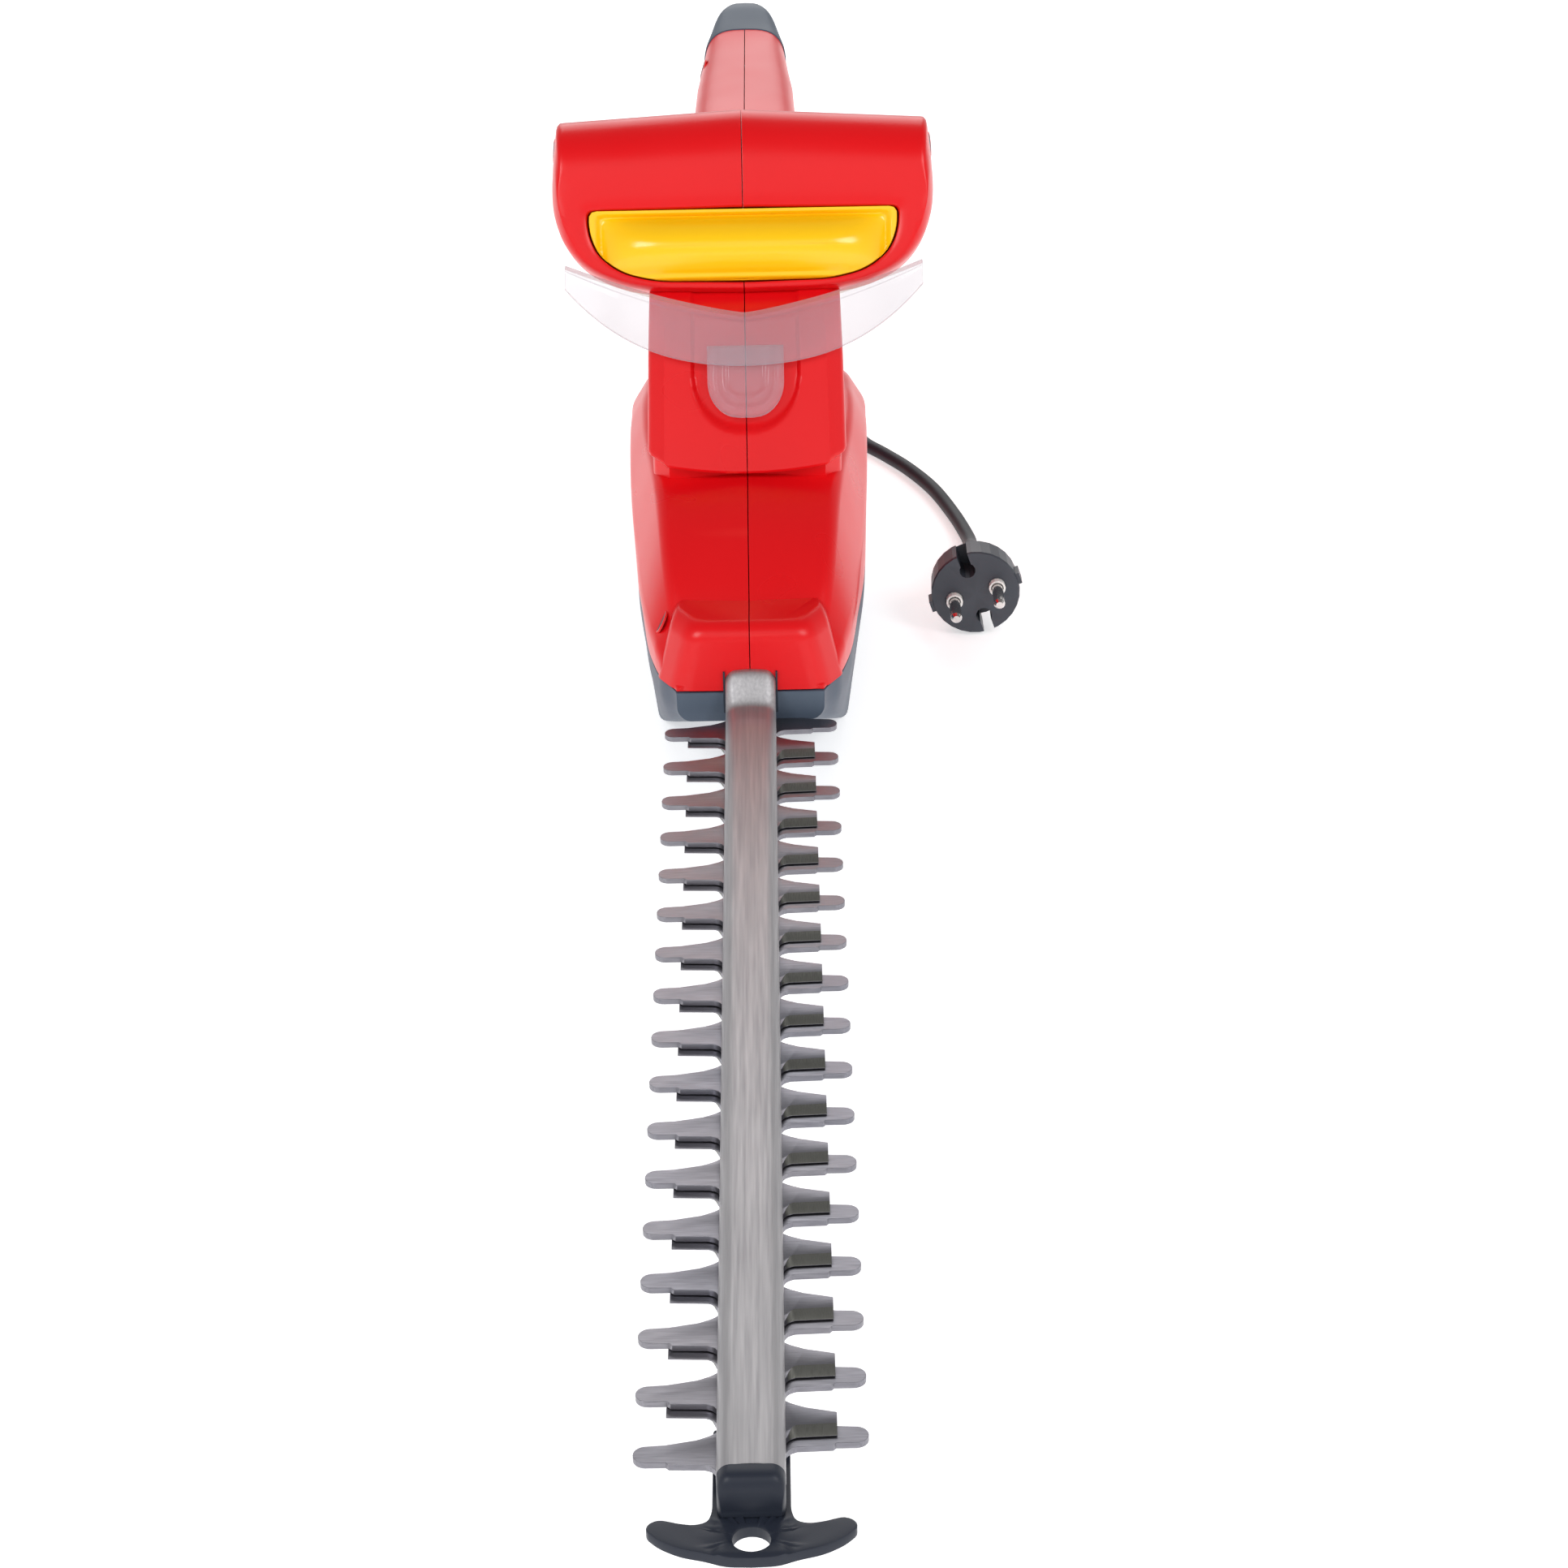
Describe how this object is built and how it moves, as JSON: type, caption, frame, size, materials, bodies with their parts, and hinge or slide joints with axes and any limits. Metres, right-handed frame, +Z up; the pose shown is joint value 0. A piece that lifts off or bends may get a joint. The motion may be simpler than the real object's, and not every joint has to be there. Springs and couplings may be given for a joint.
{
  "type": "electric hedge trimmer",
  "caption": "Corded hedge trimmer with double-acting toothed blades, two-hand switches, clear hand guard and a short plug lead.",
  "frame": {"origin": "middle of the footprint on the resting surface, without the cord and plug", "axes": "+Z up, blades towards -Y, handle towards +Y, +X to the right seen from the blade end"},
  "size_m": [0.1902, 0.956, 0.2365],
  "materials": {
    "housing_red": "satin gloss moulded",
    "base_grey": "fine textured moulded",
    "switch_yellow": "glossy moulded",
    "guard_clear": "clear moulded plastic",
    "blade_steel": "transverse ground grain",
    "cover_aluminium": "satin brushed",
    "guard_black": "semi-gloss moulded",
    "screw_steel": "zinc plated",
    "gear_steel": "machined",
    "copper": "wound copper",
    "brush_carbon": "sintered carbon",
    "brass": "pressed brass",
    "capacitor_blue": "dipped",
    "cord_black": "matt flexible sheath",
    "plug_black": "moulded",
    "collar_white": "moulded",
    "pin_metal": "nickel plated"
  },
  "bodies": {
    "housing": {"housing_screw_1": "screw_steel", "housing_screw_2": "screw_steel", "housing_screw_3": "screw_steel", "housing_screw_4": "screw_steel", "housing_screw_5": "screw_steel", "housing_screw_6": "screw_steel", "housing_screw_7": "screw_steel", "housing_screw_8": "screw_steel", "blade_bolt_1": "screw_steel", "blade_bolt_2": "screw_steel", "blade_bolt_3": "screw_steel", "blade_bolt_4": "screw_steel", "blade_bolt_5": "screw_steel", "left_housing": "housing_red", "right_housing": "housing_red", "gear_base_cover": "base_grey", "rear_grip_cap": "base_grey", "front_switch": "guard_black", "rear_switch": "guard_black", "hand_guard": "guard_clear", "blade_cover_bar": "cover_aluminium", "blade_backing_strip": "blade_steel", "cover_end_cap": "guard_black", "tip_guard": "guard_black", "tip_guard_rivet": "screw_steel", "gear_pin": "gear_steel", "gearbox_plate": "cover_aluminium", "lower_bearing": "gear_steel", "upper_bearing": "gear_steel", "motor_field_can": "gear_steel", "motor_end_bracket": "guard_black", "carbon_brush_left": "brush_carbon", "carbon_brush_right": "brush_carbon", "brush_holder_left": "brass", "brush_holder_right": "brass", "suppression_capacitor": "capacitor_blue", "cord_strain_relief": "cord_black", "cord": "cord_black", "plug_body": "plug_black", "plug_pin_left": "pin_metal", "plug_pin_right": "pin_metal", "plug_collar_left": "collar_white", "plug_collar_right": "collar_white"},
    "upper_blade": {"upper_blade": "blade_steel"},
    "lower_blade": {"lower_blade": "blade_steel"},
    "gear": {"drive_gear": "gear_steel"},
    "armature": {"motor_shaft": "gear_steel", "motor_pinion": "gear_steel", "cooling_fan": "guard_black", "armature_core": "copper", "commutator": "copper"},
    "switch_bar": {"front_switch_bar": "switch_yellow"},
    "trigger": {"rear_trigger": "switch_yellow"}
  },
  "joints": [
    {"name": "upper_blade_stroke", "type": "slide", "parent": "housing", "child": "upper_blade", "axis": [0, 1, 0], "range_m": [-0.0017, 0.0118]},
    {"name": "lower_blade_stroke", "type": "slide", "parent": "housing", "child": "lower_blade", "axis": [0, 1, 0], "range_m": [-0.0118, 0.0017]},
    {"name": "gear_turn", "type": "hinge", "parent": "housing", "child": "gear", "pos_m": [0, 0.08263, 0.055], "axis": [0, 0, 1], "continuous": true},
    {"name": "armature_turn", "type": "hinge", "parent": "housing", "child": "armature", "pos_m": [0, 0.12462, 0.08], "axis": [0, 0, 1], "continuous": true},
    {"name": "switch_bar_press", "type": "slide", "parent": "housing", "child": "switch_bar", "axis": [0, 0.9063, -0.4226], "range_m": [0, 0.005], "stiffness_N_per_m": 900, "springref_m": -0.002},
    {"name": "trigger_pull", "type": "hinge", "parent": "housing", "child": "trigger", "pos_m": [0, 0.26502, 0.163], "axis": [1, 0, 0], "range_deg": [0, 8], "stiffness_Nm_per_rad": 1.5, "springref_deg": -8.59}
  ],
  "couplings": [
    {"joint": "lower_blade_stroke", "follows": "upper_blade_stroke", "ratio": -1},
    {"joint": "armature_turn", "follows": "gear_turn", "ratio": -4}
  ]
}
